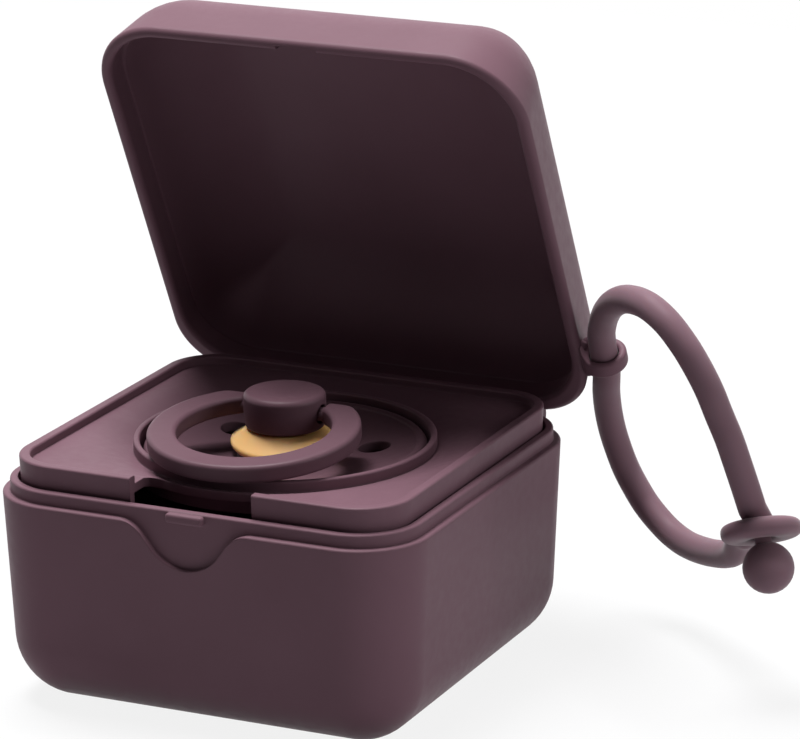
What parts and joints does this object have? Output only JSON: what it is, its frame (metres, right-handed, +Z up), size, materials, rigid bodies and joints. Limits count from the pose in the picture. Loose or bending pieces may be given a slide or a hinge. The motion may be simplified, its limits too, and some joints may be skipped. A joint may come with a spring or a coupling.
{
  "type": "pacifier sterilizer case",
  "caption": "Hinged travel case for steaming a pacifier in the microwave, with a lift-out steam tray, a pacifier and a carry strap.",
  "frame": {"origin": "middle of the flat underside of the base", "axes": "+Z up, -Y the front with the thumb scoop, +Y the hinge side, +X the side with the strap"},
  "size_m": [0.1137, 0.0827, 0.1],
  "materials": {
    "base_shell": "fine matte plum",
    "steam_tray": "fine matte plum",
    "lid_shell": "fine matte plum",
    "hinge_pin": "drawn steel",
    "carry_strap": "soft matte silicone",
    "pacifier_shield": "satin plum",
    "pacifier_teat": "amber natural rubber",
    "pacifier_knob": "satin plum",
    "pacifier_handle": "satin plum"
  },
  "bodies": {
    "base": {"base_shell": "base_shell"},
    "tray": {"steam_tray": "steam_tray"},
    "lid": {"lid_shell": "lid_shell", "hinge_pin": "hinge_pin"},
    "strap": {"carry_strap": "carry_strap"},
    "pacifier": {"pacifier_shield": "pacifier_shield", "pacifier_teat": "pacifier_teat", "pacifier_knob": "pacifier_knob"},
    "handle": {"pacifier_handle": "pacifier_handle"}
  },
  "joints": [
    {"name": "lid_hinge", "type": "hinge", "parent": "base", "child": "lid", "pos_m": [0, 0.0365, 0.03315], "axis": [-1, 0, 0], "range_deg": [-64, 46]},
    {"name": "strap_swing", "type": "hinge", "parent": "lid", "child": "strap", "pos_m": [0.0394, 0.03264, 0.0454], "axis": [0, -0.4384, 0.8988], "range_deg": [-12, 90]},
    {"name": "tray_lift", "type": "slide", "parent": "base", "child": "tray", "axis": [0, 0, 1], "range_m": [0, 0.02]},
    {"name": "pacifier_lift", "type": "slide", "parent": "tray", "child": "pacifier", "axis": [0, 0, 1], "range_m": [0, 0.031]},
    {"name": "handle_swing", "type": "hinge", "parent": "pacifier", "child": "handle", "pos_m": [0, 0, 0.04155], "axis": [-1, 0, 0], "range_deg": [0, 190]}
  ]
}
